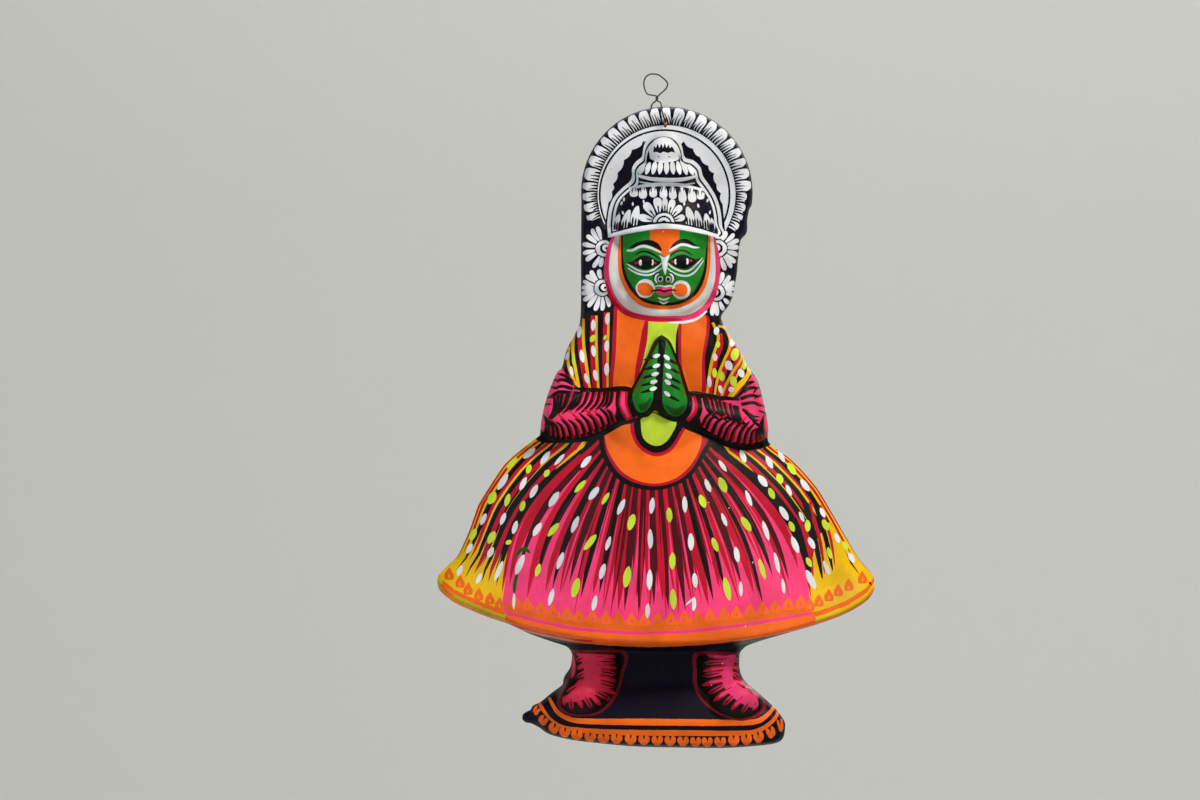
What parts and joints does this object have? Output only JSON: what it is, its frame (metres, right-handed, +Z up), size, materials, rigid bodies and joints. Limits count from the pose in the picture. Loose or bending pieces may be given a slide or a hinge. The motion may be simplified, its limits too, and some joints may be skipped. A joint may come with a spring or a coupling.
{
  "type": "painted papier-mache wall figure",
  "caption": "Hollow moulded paper dancer with joined palms, round halo and flared skirt, hung on a wall by a twisted wire loop.",
  "frame": {"origin": "where a nail carries the wire loop: on the wall plane, at the inner top of the loop", "axes": "+Z up, +Y into the wall, the painted front faces -Y"},
  "size_m": [0.2682, 0.047, 0.4119],
  "materials": {
    "painted_paper": "poster paint and satin varnish over a pale clay ground, bare grey paper behind",
    "steel_wire": "dull annealed binding wire with light rust"
  },
  "bodies": {
    "root": {"papier-mache_figure": "painted_paper", "hanging_wire": "steel_wire"}
  },
  "joints": []
}
